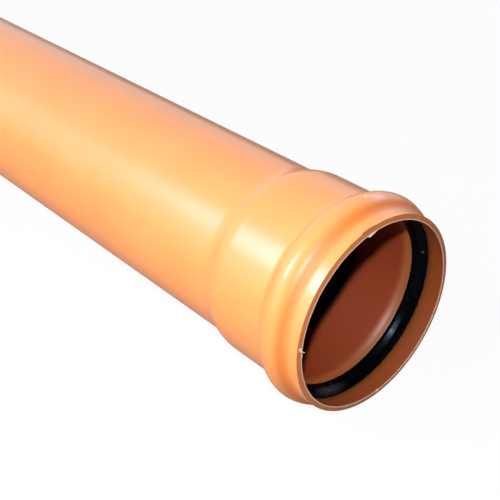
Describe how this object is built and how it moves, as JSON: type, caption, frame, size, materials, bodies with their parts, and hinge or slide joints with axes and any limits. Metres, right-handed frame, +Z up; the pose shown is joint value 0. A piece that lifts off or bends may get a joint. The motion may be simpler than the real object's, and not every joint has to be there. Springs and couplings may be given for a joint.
{
  "type": "socketed plastic drain pipe",
  "caption": "Orange plastic drain pipe with a belled socket, a rounded bead holding a black rubber sealing ring, and a bevelled spigot at the far end.",
  "frame": {"origin": "below the middle of the pipe's length, on the surface it lies on, where the bead's lowest point is at Z = 0", "axes": "+X along the pipe's axis towards the socket's mouth, +Z up"},
  "size_m": [1.065, 0.128, 0.128],
  "materials": {
    "orange_plastic": "smooth satin gloss, orange-brown right through the wall",
    "black_rubber": "smooth moulded rubber with a soft shine"
  },
  "bodies": {
    "root": {"pipe": "orange_plastic", "sealing_ring": "black_rubber"}
  },
  "joints": []
}
